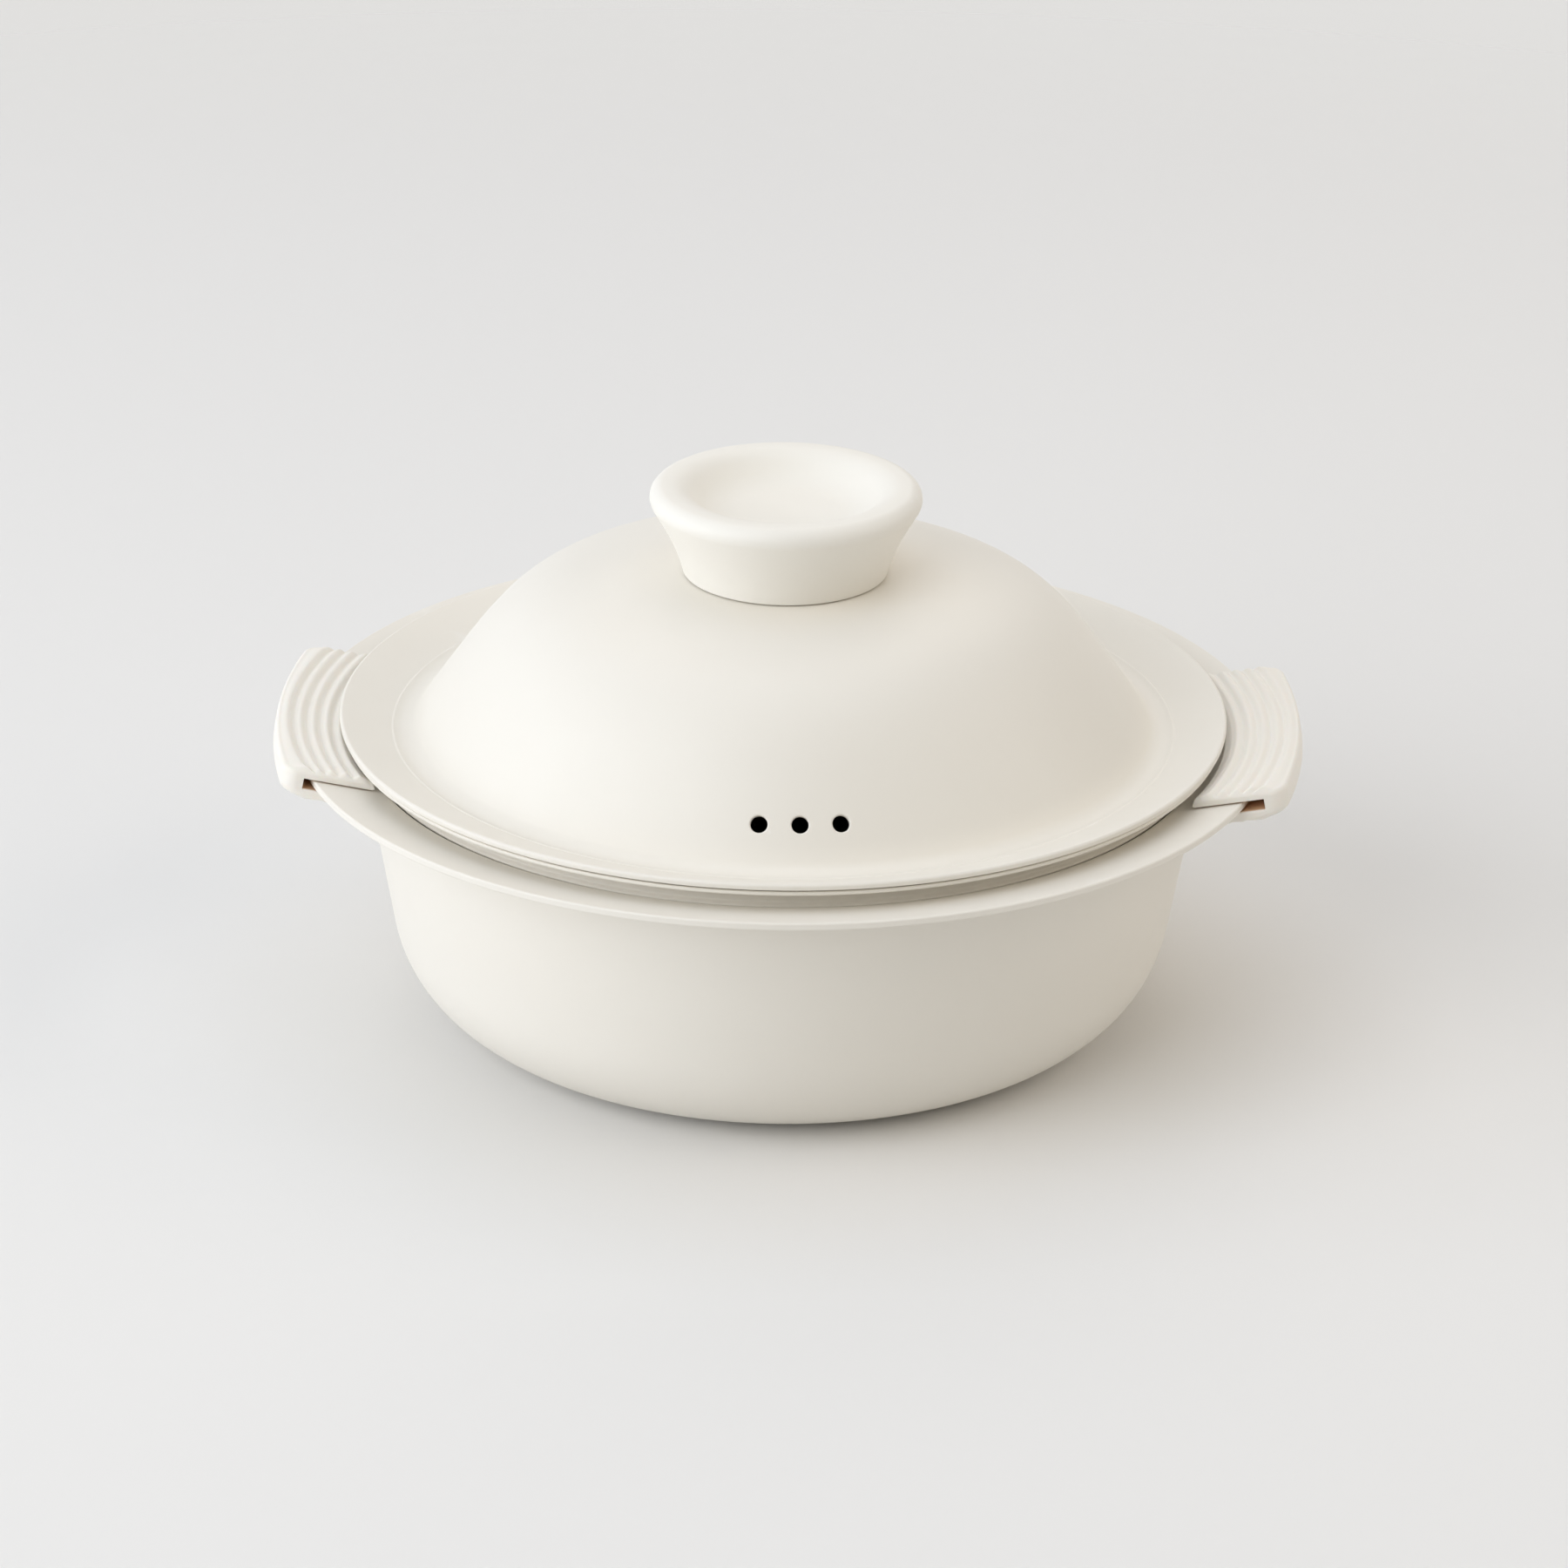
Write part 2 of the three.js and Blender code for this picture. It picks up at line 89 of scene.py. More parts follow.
# quads between the rows and columns of a grid, joined round where asked
def gridQuads(rows, columns, wrapRows=False, wrapColumns=True):
    i = np.arange(rows if wrapRows else rows - 1)
    j = np.arange(columns if wrapColumns else columns - 1)
    i, j = np.meshgrid(i, j, indexing="ij")
    nextRow, nextColumn = (i + 1) % rows, (j + 1) % columns
    corners = [i * columns + j, i * columns + nextColumn,
               nextRow * columns + nextColumn, nextRow * columns + j]
    return np.stack(corners, -1)


# azimuths of a full turn: number j of n stands at 2 pi j / n
def fullTurn(columns):
    return np.arange(columns) * 2 * np.pi / columns


# surface of revolution: (r cos a, r sin a, z) for each profile point (r, z) and azimuth a
def turned(line, azimuth):
    r, z = line[:, :1], line[:, 1:]
    return np.stack([r * np.cos(azimuth), r * np.sin(azimuth), z + 0 * azimuth], -1)


# a profile turned in full, as a patch: its points and the quads between them
def turnedPatch(line, columns, closed=False):
    grid = turned(line, fullTurn(columns))
    return grid, gridQuads(*grid.shape[:2], closed)


# several patches, each a point array and its faces, stacked into one
def joined(patches):
    points, faces, base = [], [], 0
    for patchPoints, patchFaces in patches:
        flat = patchPoints.reshape(-1, 3)
        points.append(flat)
        faces += (np.asarray(patchFaces).reshape(-1, 4) + base).tolist()
        base += len(flat)
    return np.vstack(points), faces


# 0 below the low end, 1 above the high end, and 3 t^2 - 2 t^3 between
def smoothStep(x, low, high):
    t = np.clip((x - low) / (high - low), 0, 1)
    return t * t * (3 - 2 * t)


# the rounded lip of a hole, from the flat face into the hole: over a quarter turn the radius
# shrinks by the sine, and the depth grows by one less the cosine
def holeLip(radius, lip, steps):
    quarter = np.linspace(0, np.pi / 2, steps + 1)
    return radius + lip * (1 - np.sin(quarter)), lip * (1 - np.cos(quarter))


# one piece of the object: doubles merged, faces outward, hung on its body in place of a CAD node
def addPiece(name, points, faces, finish, body, node, slotName, sharp=38, inside=None):
    mesh = bpy.data.meshes.new(name)
    mesh.from_pydata((points * mm).tolist(), [], faces)
    # the inside attribute carries the painted shade of a grip's slot: how much warm darker tan the
    # finish mixes in there
    if inside is not None:  # how far each point lies in a slot, which the finish reads
        mesh.attributes.new("inside", "FLOAT", "POINT").data.foreach_set("value", inside)
    work = bmesh.new()
    work.from_mesh(mesh)
    bmesh.ops.remove_doubles(work, verts=work.verts, dist=mergeDistance)
    bmesh.ops.recalc_face_normals(work, faces=work.faces)
    work.to_mesh(mesh)
    work.free()
    mesh.shade_smooth()
    mesh.set_sharp_from_angle(angle=sharp * deg)
    mesh.materials.append(finish)
    piece = bpy.data.objects.new(name, mesh)
    bpy.context.collection.objects.link(piece)
    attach(piece, body)
    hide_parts(node)
    print("made", name, len(mesh.polygons), "faces")


# finishes


# sRGB 0-255 to the linear colour that a shader takes, by the standard's curve
def tint(red, green, blue):
    c = np.array([red, green, blue]) / 255
    c = np.where(c <= 0.04045, c / 12.92, ((c + 0.055) / 1.055) ** 2.4)
    return (*c.tolist(), 1.0)


# a socket takes another node's output or a constant
def feed(tree, socket, source):
    if isinstance(source, bpy.types.NodeSocket):
        tree.links.new(source, socket)
    else:
        socket.default_value = source


# a new shader node: its settings first, since they choose its sockets, then what feeds each socket
def addNode(tree, kind, sources=(), **settings):
    node = tree.nodes.new("ShaderNode" + kind)
    for setting, value in settings.items():
        setattr(node, setting, value)
    for socket, source in dict(sources).items():
        feed(tree, node.inputs[socket], source)
    return node


# a colour between two others, by a factor
def mixedColour(tree, factor, first, second):
    mix = addNode(tree, "Mix", {"Factor": factor, "A": first, "B": second}, data_type="RGBA")
    return mix.outputs["Result"]


coatLook = dict(colour=tint(238, 234, 225), shade=tint(234, 229, 219), rough=(0.42, 0.5),
                peel=0.05, peelScale=900)
knobLook = dict(colour=tint(242, 239, 231), shade=tint(239, 235, 226), rough=(0.46, 0.54),
                peel=0.03, peelScale=1500)
# the silicone's inside colour is painted shade: the warm darker tan laid into the grip's slot
siliconeLook = dict(colour=tint(243, 239, 231), shade=tint(239, 234, 224), rough=(0.6, 0.7),
                    peel=0.06, peelScale=2600, inside=tint(224, 184, 144), sheen=0.15, soft=0.15)
sealLook = dict(colour=tint(218, 216, 208), shade=tint(208, 205, 196), rough=(0.55, 0.65),
                peel=0.04, peelScale=1800, soft=0.2)
# the painted edge highlight: edges whose pointiness lies in the given range turn paler, by up to
# the given share
moulded = dict(tintScale=14, tintDetail=3, highlightFrom=(0.54, 0.66), highlightShare=0.35,
               highlightColour=tint(246, 244, 239), roughScale=90, roughDetail=4, roughFrom=(0.3, 0.7),
               peelDetail=2, peelDepth=0.0004, ior=1.45, sheenRough=0.5,
               softRadius=(0.0022, 0.0014, 0.0009), softScale=1.0)


# a coated or moulded surface: two near tints mixed by slow noise, a painted highlight that
# makes sharp convex edges paler, roughness varied by a middling noise, and a fine orange-peel bump
def mouldedFinish(name, look):
    finish = bpy.data.materials.new(name)
    finish.use_nodes = True
    tree = finish.node_tree
    place = addNode(tree, "TexCoord").outputs["Object"]
    slow = addNode(tree, "TexNoise", {
        "Vector": place, "Scale": moulded["tintScale"], "Detail": moulded["tintDetail"]})
    colour = mixedColour(tree, slow.outputs["Fac"], look["colour"], look["shade"])
    # painted highlight: sharp convex edges, found by the geometry's pointiness, are mixed towards a
    # paler colour
    edgeHighlight = addNode(tree, "MapRange", {
        "Value": addNode(tree, "NewGeometry").outputs["Pointiness"],
        "From Min": moulded["highlightFrom"][0], "From Max": moulded["highlightFrom"][1],
        "To Max": moulded["highlightShare"]})
    colour = mixedColour(tree, edgeHighlight.outputs["Result"], colour, moulded["highlightColour"])
    # painted shade: the slot's inside is mixed towards a warm darker tan, standing in for the shade
    # and warm bounce within it
    if "inside" in look:  # warmer where the piece's own attribute says inside
        deep = addNode(tree, "Attribute", attribute_name="inside")
        colour = mixedColour(tree, deep.outputs["Fac"], colour, look["inside"])
    middling = addNode(tree, "TexNoise", {
        "Vector": place, "Scale": moulded["roughScale"], "Detail": moulded["roughDetail"]})
    rough = addNode(tree, "MapRange", {
        "Value": middling.outputs["Fac"],
        "From Min": moulded["roughFrom"][0], "From Max": moulded["roughFrom"][1],
        "To Min": look["rough"][0], "To Max": look["rough"][1]})
    fine = addNode(tree, "TexNoise", {
        "Vector": place, "Scale": look["peelScale"], "Detail": moulded["peelDetail"]})
    bump = addNode(tree, "Bump", {
        "Height": fine.outputs["Fac"], "Strength": look["peel"], "Distance": moulded["peelDepth"]})
    surface = {"Base Color": colour, "Roughness": rough.outputs["Result"],
               "Normal": bump.outputs["Normal"], "IOR": moulded["ior"],
               "Sheen Weight": look.get("sheen", 0.0), "Sheen Roughness": moulded["sheenRough"]}
    if "soft" in look:  # a little light passes into it
        surface.update({"Subsurface Weight": look["soft"],
                        "Subsurface Radius": moulded["softRadius"],
                        "Subsurface Scale": moulded["softScale"]})
    for socket, source in surface.items():
        feed(tree, tree.nodes["Principled BSDF"].inputs[socket], source)
    return finish


steelLook = dict(colour=tint(186, 186, 184), streak=tint(166, 166, 164), rough=(0.26, 0.42))
brassLook = dict(colour=tint(190, 152, 84), streak=tint(170, 132, 66), rough=(0.28, 0.4))
turning = dict(rings=222.93, waver=1.2, detail=4, detailScale=2, bump=0.12, bumpDepth=0.0002)


# turned metal: fine rings about the axis from the distance to it, which streak colour and roughness
def turnedMetal(name, look):
    finish = bpy.data.materials.new(name)
    finish.use_nodes = True
    tree = finish.node_tree
    place = addNode(tree, "TexCoord").outputs["Object"]
    wave = addNode(tree, "TexWave", {
        "Vector": place, "Scale": turning["rings"], "Distortion": turning["waver"],
        "Detail": turning["detail"], "Detail Scale": turning["detailScale"],
    }, wave_type="RINGS", rings_direction="Z").outputs["Fac"]
    rough = addNode(tree, "MapRange", {
        "Value": wave, "To Min": look["rough"][0], "To Max": look["rough"][1]})
    bump = addNode(tree, "Bump", {
        "Height": wave, "Strength": turning["bump"], "Distance": turning["bumpDepth"]})
    surface = {"Base Color": mixedColour(tree, wave, look["colour"], look["streak"]),
               "Metallic": 1.0, "Roughness": rough.outputs["Result"],
               "Normal": bump.outputs["Normal"]}
    for socket, source in surface.items():
        feed(tree, tree.nodes["Principled BSDF"].inputs[socket], source)
    return finish


ivoryCoat = mouldedFinish("ivoryCoat", coatLook)
knobFinish = mouldedFinish("knobFinish", knobLook)
gripSilicone = mouldedFinish("gripSilicone", siliconeLook)
sealSilicone = mouldedFinish("sealSilicone", sealLook)
plainSteel = turnedMetal("plainSteel", steelLook)
insertBrass = turnedMetal("insertBrass", brassLook)
print("finishes made")

# pot body and its base plate

pot = dict(mouth=128.2, flangeWidth=21.8, flangeHeight=92.4, rise=11 * deg, sheet=2.3,
           taper=9.7 * deg, base=4, corner=38, bend=2.5, edge=0.6, columns=256,
           plateThick=1.2, plateSetback=11, plateRound=0.25, plateColumns=192)
pot["flange"] = pot["mouth"] + pot["flangeWidth"]
pot["mouthHeight"] = pot["flangeHeight"] - pot["flangeWidth"] * np.tan(pot["rise"])


# radius of the wall's inside: the mouth's less the depth under the mouth times the taper's tangent
def potInner(z):
    return pot["mouth"] - (pot["mouthHeight"] - z) * np.tan(pot["taper"])


# radius of the wall's outside: the inside's plus the sheet, measured level
def potOuter(z):
    return potInner(z) + pot["sheet"] / np.cos(pot["taper"])


# height of the flange's underside: its top, which falls inward by the rise's tangent, less the
# sheet measured upright
def flangeUnder(r):
    top = pot["flangeHeight"] - (pot["flange"] - r) * np.tan(pot["rise"])
    return top - pot["sheet"] / np.cos(pot["rise"])


# where the wall's outside meets the flange's underside, and how far out the base plate goes
neckHeight = flangeUnder(potOuter(0)) / (1 - np.tan(pot["taper"]) * np.tan(pot["rise"]))
cornerRun = pot["corner"] * np.tan((90 * deg - pot["taper"]) / 2)
plateRadius = potOuter(0) - cornerRun - pot["plateSetback"]
recessRadius, recessTop = plateRadius + seatGap, pot["plateThick"] + seatGap

potLine = evenSteps(roundedLine([
    (0, recessTop),
    (recessRadius, recessTop),
    (recessRadius, 0, smallRound),
    (potOuter(0), 0, pot["corner"]),
    (potOuter(neckHeight), neckHeight, pot["bend"]),
    (pot["flange"], flangeUnder(pot["flange"]), pot["edge"]),
    (pot["flange"], pot["flangeHeight"], pot["edge"]),
    (pot["mouth"], pot["mouthHeight"], pot["bend"] + pot["sheet"]),
    (potInner(pot["base"]), pot["base"], pot["corner"] - pot["sheet"]),
    (0, pot["base"]),
], step=3))
addPiece("potShell", *joined([turnedPatch(potLine, pot["columns"])]),
         ivoryCoat, "pot", "pot_body", "ivory_coat")

plateLine = evenSteps(roundedLine([
    (0, 0),
    (plateRadius, 0, pot["plateRound"]),
    (plateRadius, pot["plateThick"], smallRound),
    (0, pot["plateThick"]),
], step=15))
addPiece("inductionDisc", *joined([turnedPatch(plateLine, pot["plateColumns"])]),
         plainSteel, "pot", "base_plate", "steel")

# steam tray: lip, groove, wall and perforated floor

tray = dict(sheet=1.8, rimReach=7.5, rimBand=1.34, flare=45 * deg, depth=43.5, clearance=1.5,
            corner=12, bend=2, edge=0.5, seat=129.0, seatRound=0.5, groove=127.2, grooveRise=0.9,
            grooveRound=0.7, lipRound=0.8, holeRadius=3.5, holeEdge=0.3, holeRings=3, ringStep=26,
            holesPerRing=6, columns=144, discRows=4, sideSteps=6, flatSteps=4, edgeSteps=3)
brimRise = 19.6 * deg  # slope of the lid's brim and of the tray's lip under it

# centre of the round at the pot's mouth: the point that lies its radius from both flange and wall
mouthRound = pot["bend"] + pot["sheet"]
mouthSplit = np.cos(pot["rise"] + pot["taper"])
mouthOut = mouthRound * (np.cos(pot["rise"]) - np.sin(pot["taper"])) / mouthSplit
mouthDown = mouthRound * (np.cos(pot["taper"]) - np.sin(pot["rise"])) / mouthSplit
mouthCentre = (pot["mouth"] + mouthOut, pot["mouthHeight"] - mouthDown)

# the flare's line passes the mouth's round at the seat's gap; this is its radius at z = 0
flareAway = mouthRound + seatGap
flareRise = -mouthCentre[1] - flareAway * np.cos(tray["flare"])
flareFoot = mouthCentre[0] - flareAway * np.sin(tray["flare"]) + flareRise / np.tan(tray["flare"])


# radius of the tray's wall: the pot's inside less the clearance and the inset, measured level
def trayWall(z, inset):
    return potInner(z) - (tray["clearance"] + inset) / np.cos(pot["taper"])


# height of the flare at a radius: the way out from its foot times its tangent
def trayFlareHeight(r):
    return (r - flareFoot) * np.tan(tray["flare"])


# fall of the lip at a radius: the way in from the rim times the brim's tangent
def trayLipDrop(r):
    return (tray["rim"] - r) * np.tan(brimRise)


tray["rim"] = pot["mouth"] + tray["rimReach"]
tray["grooveInner"] = tray["groove"] - tray["sheet"]
tray["rimLow"] = trayFlareHeight(tray["rim"])
tray["rimTop"] = tray["rimLow"] + tray["rimBand"]
tray["floor"] = tray["rimTop"] - tray["depth"]
tray["floorTop"] = tray["floor"] + tray["sheet"]
tray["holeField"] = tray["ringStep"] * (tray["holeRings"] + 0.5)
bendSpread = 1 / np.tan(tray["flare"]) - np.tan(pot["taper"])
trayBend = (trayWall(0, 0) - flareFoot) / bendSpread  # height where wall and flare cross

trayLine = evenSteps(roundedLine([
    (tray["holeField"], tray["floor"]),
    (trayWall(tray["floor"], 0), tray["floor"], tray["corner"]),
    (trayWall(trayBend, 0), trayBend, tray["bend"]),
    (tray["seat"], trayFlareHeight(tray["seat"]), tray["seatRound"]),
    (tray["groove"], trayFlareHeight(tray["seat"]) + tray["grooveRise"], tray["grooveRound"]),
    (tray["groove"], tray["rimLow"] - trayLipDrop(tray["groove"]), tray["lipRound"]),
    (tray["rim"], tray["rimLow"], tray["edge"]),
    (tray["rim"], tray["rimTop"], tray["edge"]),
    (tray["grooveInner"], tray["rimTop"] - trayLipDrop(tray["grooveInner"]), tray["lipRound"]),
    (trayWall(trayBend, tray["sheet"]), trayBend, tray["bend"] + tray["sheet"]),
    (trayWall(tray["floorTop"], tray["sheet"]), tray["floorTop"], tray["corner"] - tray["sheet"]),
    (tray["holeField"], tray["floorTop"]),
], step=5))
trayPatches = [turnedPatch(trayLine, tray["columns"])]

# the middle of the floor, inside the first ring of holes
for level in (tray["floor"], tray["floorTop"]):
    discRadius = np.linspace(0, tray["ringStep"] / 2, tray["discRows"])
    discLine = np.stack([discRadius, np.full(tray["discRows"], level)], 1)
    trayPatches.append(turnedPatch(discLine, tray["columns"]))


# one ring of holes: each cell is a sector of the ring; its surface runs straight from the hole's
# circle, at the bearing of each boundary point, out to that boundary point
def holeRing(row):
    count = tray["holesPerRing"] * row
    half = np.pi / count
    along, sides = tray["columns"] // count, tray["sideSteps"]
    inner, outer = (row - 0.5) * tray["ringStep"], (row + 0.5) * tray["ringStep"]
    sweep = np.linspace(-half, half, along + 1)
    climb = np.linspace(inner, outer, sides + 1)
    bearing = np.concatenate([
        sweep[:-1], np.full(sides, half), sweep[:0:-1], np.full(sides, -half)])
    reach = np.concatenate([
        np.full(along, inner), climb[:-1], np.full(along, outer), climb[:0:-1]])
    middle = (np.arange(count) * 2 * half)[:, None]
    boundary = np.stack([reach * np.cos(middle + bearing), reach * np.sin(middle + bearing)], -1)
    centre = row * tray["ringStep"] * np.stack([np.cos(middle), np.sin(middle)], -1)
    away = boundary - centre
    away = away / np.linalg.norm(away, axis=-1, keepdims=True)
    spread = np.linspace(0, 1, tray["flatSteps"] + 1)[1:, None]
    radius, drop = holeLip(tray["holeRadius"], tray["holeEdge"], tray["edgeSteps"])
    sink = np.concatenate([np.zeros(tray["flatSteps"]), drop])
    skins = []
    for level, sign in ((tray["floorTop"], 1), (tray["floor"], -1)):
        edge = centre + away * radius[0]
        flat = edge[..., None, :] + spread * (boundary - edge)[..., None, :]
        bent = centre[..., None, :] + away[..., None, :] * radius[:, None]
        face = np.concatenate([flat[..., ::-1, :], bent], -2)
        height = np.broadcast_to((level - sign * sink)[:, None], (*face.shape[:-1], 1))
        skins.append(np.concatenate([face, height], -1))
    cells = np.concatenate([skins[0], skins[1][..., ::-1, :]], -2)
    around, steps = cells.shape[1:3]
    quads = gridQuads(around, steps, True, False)
    return cells, quads + (np.arange(count) * around * steps)[:, None, None, None]


trayPatches += [holeRing(row + 1) for row in range(tray["holeRings"])]
addPiece("steamTray", *joined(trayPatches), ivoryCoat, "tray", "steam_tray", "ivory_coat")

# lid shell with its three steam holes

lid = dict(sheet=2, overhang=0.9, edge=0.8, rise=44.6, setback=32.5, shoulder=8.56,
           slope=55.1 * deg, valley=6.6, upperShare=0.85, stepRadius=120.2, stepHeight=0.32,
           stepRun=0.6, stepRise=24 * deg, stepRound=0.3, crownSetback=61.1, side=40.6,
           screwHole=2.8, hubGap=0.2, holeRadius=2.55, holeSpacing=12.05, holeDrop=3.8,
           holeTurn=-87.1 * deg, holeEdge=0.5, window=3.6, windowTurn=2.1 * deg,
           windowGap=0.3 * deg, windowSteps=8, flatSteps=5, edgeSteps=4, domeRows=72, columns=288)
lid["radius"] = tray["rim"] + lid["overhang"]
lid["low"] = tray["rimTop"] + seatGap / np.cos(brimRise) + lid["overhang"] * np.tan(brimRise)
lid["top"] = lid["low"] + lid["sheet"] / np.cos(brimRise)
lid["crown"] = lid["top"] + lid["rise"]
slopeFall = np.array([np.cos(lid["slope"]), -np.sin(lid["slope"])])
slopeSquare = np.array([slopeFall[1], -slopeFall[0]])
domeEnd = np.array([lid["radius"] - lid["setback"], lid["top"] + lid["shoulder"]])
domeHandles = np.array([[0, lid["crown"]], [lid["radius"] - lid["crownSetback"], lid["crown"]],
                        domeEnd - lid["side"] * slopeFall, domeEnd])


# cubic curve from the crown to the straight slope, moved square to itself into the sheet by the
# inset
def domeLine(share, inset):
    a, b, c, d = domeHandles
    t = share[:, None]
    point = (1 - t) ** 3 * a + 3 * (1 - t) ** 2 * t * b + 3 * (1 - t) * t ** 2 * c + t ** 3 * d
    along = (1 - t) ** 2 * (b - a) + 2 * (1 - t) * t * (c - b) + t ** 2 * (d - c)
    along /= np.linalg.norm(along, axis=1, keepdims=True)
    return point + inset * np.stack([along[:, 1], -along[:, 0]], 1)


# straight slope below the dome: its end plus a drop along the slope and an inset square to it
def slopeLine(drop, inset):
    return domeEnd + drop[..., None] * slopeFall + np.asarray(inset)[..., None] * slopeSquare


# where the slope crosses a line that rises outward through a point, both moved in by the inset
def slopeCrossing(point, rise, inset=0):
    lines = np.array([[np.sin(lid["slope"]), np.cos(lid["slope"])], [-np.sin(rise), np.cos(rise)]])
    return np.linalg.solve(lines, np.array([lines[0] @ domeEnd, lines[1] @ point]) - inset)


# the upper valley is a fillet from the slope to a line that climbs a little steeper than the brim,
# then a fine step leads down onto the brim; the lower valley is a plain fillet
brimAt = lid["top"] - (lid["radius"] - lid["stepRadius"]) * np.tan(brimRise)
stepTop = np.array([lid["stepRadius"], brimAt + lid["stepHeight"]])
stepFoot = (lid["stepRadius"] + lid["stepRun"], brimAt + lid["stepRun"] * np.tan(brimRise))
upperValley = slopeCrossing(stepTop, lid["stepRise"])
lowerValley = slopeCrossing(np.array([lid["radius"], lid["top"]]), brimRise, lid["sheet"])

windowRows = lid["windowSteps"] + 1
windowDrop = lid["holeDrop"] + np.linspace(-lid["window"], lid["window"], windowRows)
domeShare = np.linspace(0, 1, lid["domeRows"])
hubRow = np.array([[lid["screwHole"], lid["crown"]]])
upperDome, lowerDome = domeLine(domeShare, 0), domeLine(domeShare, lid["sheet"])
pastHub = upperDome[:, 0] > lid["screwHole"] + lid["hubGap"]
upper = np.vstack([hubRow, upperDome[pastHub], slopeLine(windowDrop, 0)])
lower = np.vstack([hubRow - [0, lid["sheet"]], lowerDome[pastHub],
                   slopeLine(windowDrop, lid["sheet"])])
brimLine = evenSteps(roundedLine([
    upper[-1],
    (*upperValley, lid["upperShare"] * lid["valley"]),
    (*stepTop, lid["stepRound"]),
    (*stepFoot, lid["stepRound"]),
    (lid["radius"], lid["top"], lid["edge"]),
    (lid["radius"], lid["low"], lid["edge"] / 2),
    (*lowerValley, lid["valley"] + lid["sheet"]),
    lower[-1],
], step=6))[1:-1]
lidLine = np.vstack([upper, brimLine, lower[::-1]])

# azimuths: even columns, with a finer window of columns at each steam hole
holeReach = slopeLine(np.array(lid["holeDrop"]), 0)[0]
holeBearing = lid["holeTurn"] + np.array([-1, 0, 1]) * lid["holeSpacing"] / holeReach
windowTurns = holeBearing[:, None] + np.linspace(-1, 1, windowRows) * lid["windowTurn"]
plainTurns = -np.pi + fullTurn(lid["columns"])
holeAway = np.abs(plainTurns[:, None] - holeBearing).min(1)
clearTurns = plainTurns[holeAway >= lid["windowTurn"] + lid["windowGap"]]
lidTurns = np.sort(np.concatenate([clearTurns, windowTurns.ravel()]))

# faces inside the hole windows are left out of the main grid, on both skins
firstRow = len(upper) - windowRows
innerRow = len(lidLine) - firstRow - windowRows
keep = np.ones((len(lidLine), len(lidTurns)), bool)
for column in np.searchsorted(lidTurns, windowTurns[:, 0]):
    for row in (firstRow, innerRow):
        keep[row:row + lid["windowSteps"], column:column + lid["windowSteps"]] = False
lidQuads = gridQuads(len(lidLine), len(lidTurns), True)[keep]
lidPatches = [(turned(lidLine, lidTurns), lidQuads)]


# a steam hole: rings run from the window's border to the hole's circle, round its lip, down the
# wall and out again on the inner skin, all laid on the slope by bearing, drop and inset
def steamHole(turn):
    side, ones = np.linspace(-1, 1, windowRows), np.ones(lid["windowSteps"])
    across = np.concatenate([side[:-1], ones, side[:0:-1], -ones]) * lid["windowTurn"] * holeReach
    down = np.concatenate([-ones, side[:-1], ones, side[:0:-1]]) * lid["window"]
    border = np.stack([across, down], -1)
    away = border / np.linalg.norm(border, axis=1, keepdims=True)
    radius, drop = holeLip(lid["holeRadius"], lid["holeEdge"], lid["edgeSteps"])
    spread = np.linspace(1, 0, lid["flatSteps"] + 1)[:-1, None, None]
    outward = away * radius[0] + spread * (border - away * radius[0])
    bent = away * radius[:, None, None]
    flat = np.concatenate([outward, bent, bent[::-1], outward[::-1]])
    sink = np.concatenate([np.zeros(lid["flatSteps"]), drop])
    inset = np.concatenate([sink, lid["sheet"] - sink[::-1]])[:, None]
    line = slopeLine(lid["holeDrop"] + flat[..., 1], inset)
    bearing = turn + flat[..., 0] / holeReach
    r, z = line[..., 0], line[..., 1]
    return np.stack([r * np.cos(bearing), r * np.sin(bearing), z], -1)


for turn in holeBearing:
    holePoints = steamHole(turn)
    lidPatches.append((holePoints, gridQuads(*holePoints.shape[:2])))
addPiece("lidShell", *joined(lidPatches), ivoryCoat, "lid", "lid_shell", "ivory_coat")

# knob and what holds it

knob = dict(foot=31.3, radius=41.55, height=27.4, rimRound=4, kneeOut=2, kneeHeight=8.1,
            kneeRound=57, lipInset=10, lipRound=10, wall=4, skirtRound=0.4, dishDepth=9, dishRun=9,
            dishRound=13, dishRise=1, boss=10.5, bossRound=0.5, seatSamples=400, columns=192)
fixing = dict(screw=2.5, tipRound=0.5, head=5, headHeight=3.2, headRound=1.1, reach=9, drive=1.75,
              driveDepth=1.8, driveRim=2.3, washer=8, washerThick=1, seal=9.5, sealThick=1.2,
              insert=4.5, insertLength=10.5, columns=72)

# heights, stacked on the lid's crown with a gap at each seat
crownLine = domeLine(np.linspace(0, 1, knob["seatSamples"]), 0)
knobBase = np.interp(knob["foot"], crownLine[:, 0], crownLine[:, 1]) + seatGap
knobTop = knobBase + knob["height"]
sealLow = lid["crown"] + seatGap
sealTop = sealLow + fixing["sealThick"]
bossLow = sealTop + seatGap
insertLow = bossLow + seatGap
insertTop = insertLow + fixing["insertLength"]
washerTop = lid["crown"] - lid["sheet"] - seatGap
washerLow = washerTop - fixing["washerThick"]
headTop = washerLow - seatGap
headLow = headTop - fixing["headHeight"]
driveTop = headLow + fixing["driveDepth"]
screwTop = insertLow + fixing["reach"]

